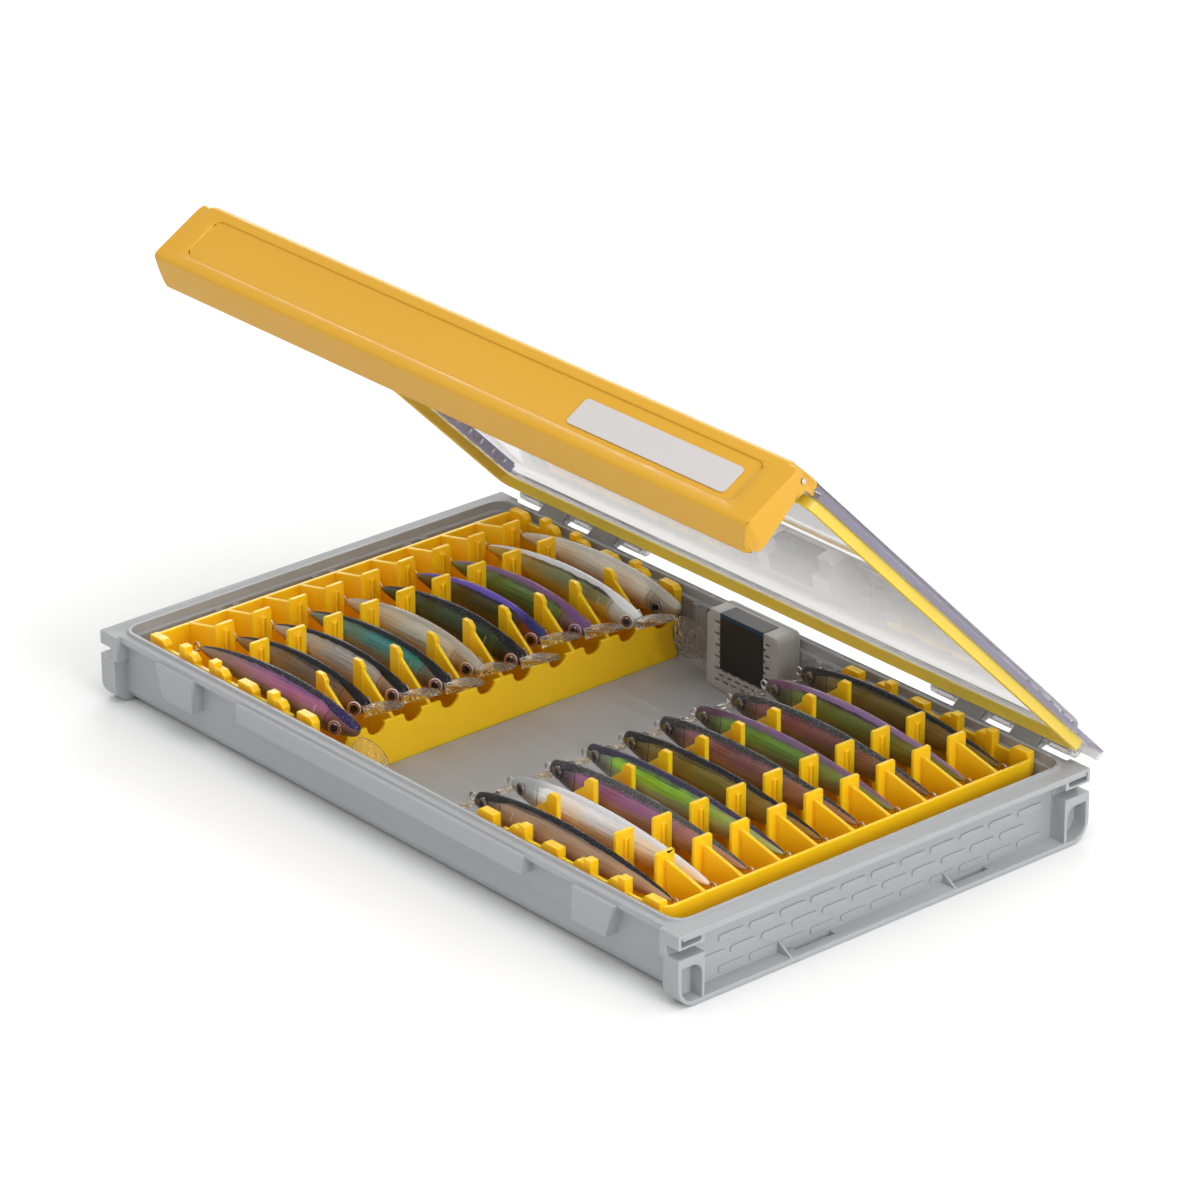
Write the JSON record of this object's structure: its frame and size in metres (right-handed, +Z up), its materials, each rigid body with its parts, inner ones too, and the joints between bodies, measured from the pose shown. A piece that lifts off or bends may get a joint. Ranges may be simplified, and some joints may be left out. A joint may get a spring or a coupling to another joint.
{
  "type": "lure box",
  "caption": "Flat tackle box with clear sealed lid, full-width front latch, two lift-out slotted lure racks with lures, and a desiccant case",
  "frame": {"origin": "centre of the base's underside", "axes": "+X to the right along the long side, +Y to the hinge at the back, +Z up"},
  "size_m": [0.356, 0.2234, 0.203],
  "materials": {
    "grey_plastic": "moulded grey plastic, satin",
    "yellow_plastic": "moulded bright yellow plastic, semi-gloss",
    "latch_plastic": "moulded yellow-orange plastic, satin",
    "clear_plastic": "clear polished plastic",
    "seal_rubber": "soft yellow seal",
    "steel_wire": "bright steel wire",
    "white_insert": "plain writable plate",
    "case_plastic": "moulded grey plastic",
    "desiccant_beads": "drying granules",
    "black_label": "plain black label",
    "lip_plastic": "clear polished plastic",
    "finish_l01": "lacquered lure body",
    "finish_l02": "lacquered lure body",
    "finish_l03": "lacquered lure body",
    "finish_l04": "lacquered lure body",
    "finish_l05": "lacquered lure body",
    "finish_l06": "lacquered lure body",
    "finish_l07": "lacquered lure body",
    "finish_l08": "lacquered lure body",
    "finish_l09": "lacquered lure body",
    "finish_l10": "lacquered lure body",
    "finish_r01": "lacquered lure body",
    "finish_r02": "lacquered lure body",
    "finish_r03": "lacquered lure body",
    "finish_r04": "lacquered lure body",
    "finish_r05": "lacquered lure body",
    "finish_r06": "lacquered lure body",
    "finish_r07": "lacquered lure body",
    "finish_r08": "lacquered lure body",
    "finish_r09": "lacquered lure body",
    "finish_r10": "lacquered lure body"
  },
  "bodies": {
    "base": {"base": "grey_plastic", "hinge_pin_left": "steel_wire", "hinge_pin_right": "steel_wire"},
    "lid": {"lid": "clear_plastic", "lid_seal": "seal_rubber", "latch_rod": "steel_wire"},
    "latch": {"latch": "latch_plastic", "label_insert": "white_insert"},
    "rack_left": {"rack_left": "yellow_plastic", "lure_l01": "finish_l01", "lure_l02": "finish_l02", "lure_l03": "finish_l03", "lure_l04": "finish_l04", "lure_l05": "finish_l05", "lure_l06": "finish_l06", "lure_l07": "finish_l07", "lure_l08": "finish_l08", "lure_l09": "finish_l09", "lure_l10": "finish_l10", "lips_left": "lip_plastic", "rings_left": "steel_wire"},
    "rack_right": {"rack_right": "yellow_plastic", "lure_r01": "finish_r01", "lure_r02": "finish_r02", "lure_r03": "finish_r03", "lure_r04": "finish_r04", "lure_r05": "finish_r05", "lure_r06": "finish_r06", "lure_r07": "finish_r07", "lure_r08": "finish_r08", "lure_r09": "finish_r09", "lure_r10": "finish_r10", "lips_right": "lip_plastic", "rings_right": "steel_wire"},
    "desiccant": {"desiccant_case": "case_plastic", "desiccant_back": "case_plastic", "desiccant_filling": "desiccant_beads", "desiccant_label": "black_label"}
  },
  "joints": [
    {"name": "lid_hinge", "type": "hinge", "parent": "base", "child": "lid", "pos_m": [0, 0.111, 0.033], "axis": [-1, 0, 0], "range_deg": [-45, 75]},
    {"name": "latch_hinge", "type": "hinge", "parent": "lid", "child": "latch", "pos_m": [0, -0.0469, 0.1967], "axis": [-1, 0, 0], "range_deg": [-8, 16]},
    {"name": "rack_left_lift", "type": "slide", "parent": "base", "child": "rack_left", "axis": [0, 0, 1], "range_m": [0, 0.02]},
    {"name": "rack_right_lift", "type": "slide", "parent": "base", "child": "rack_right", "axis": [0, 0, 1], "range_m": [0, 0.02]},
    {"name": "desiccant_lift", "type": "slide", "parent": "base", "child": "desiccant", "axis": [0, 0, 1], "range_m": [0, 0.015]}
  ]
}
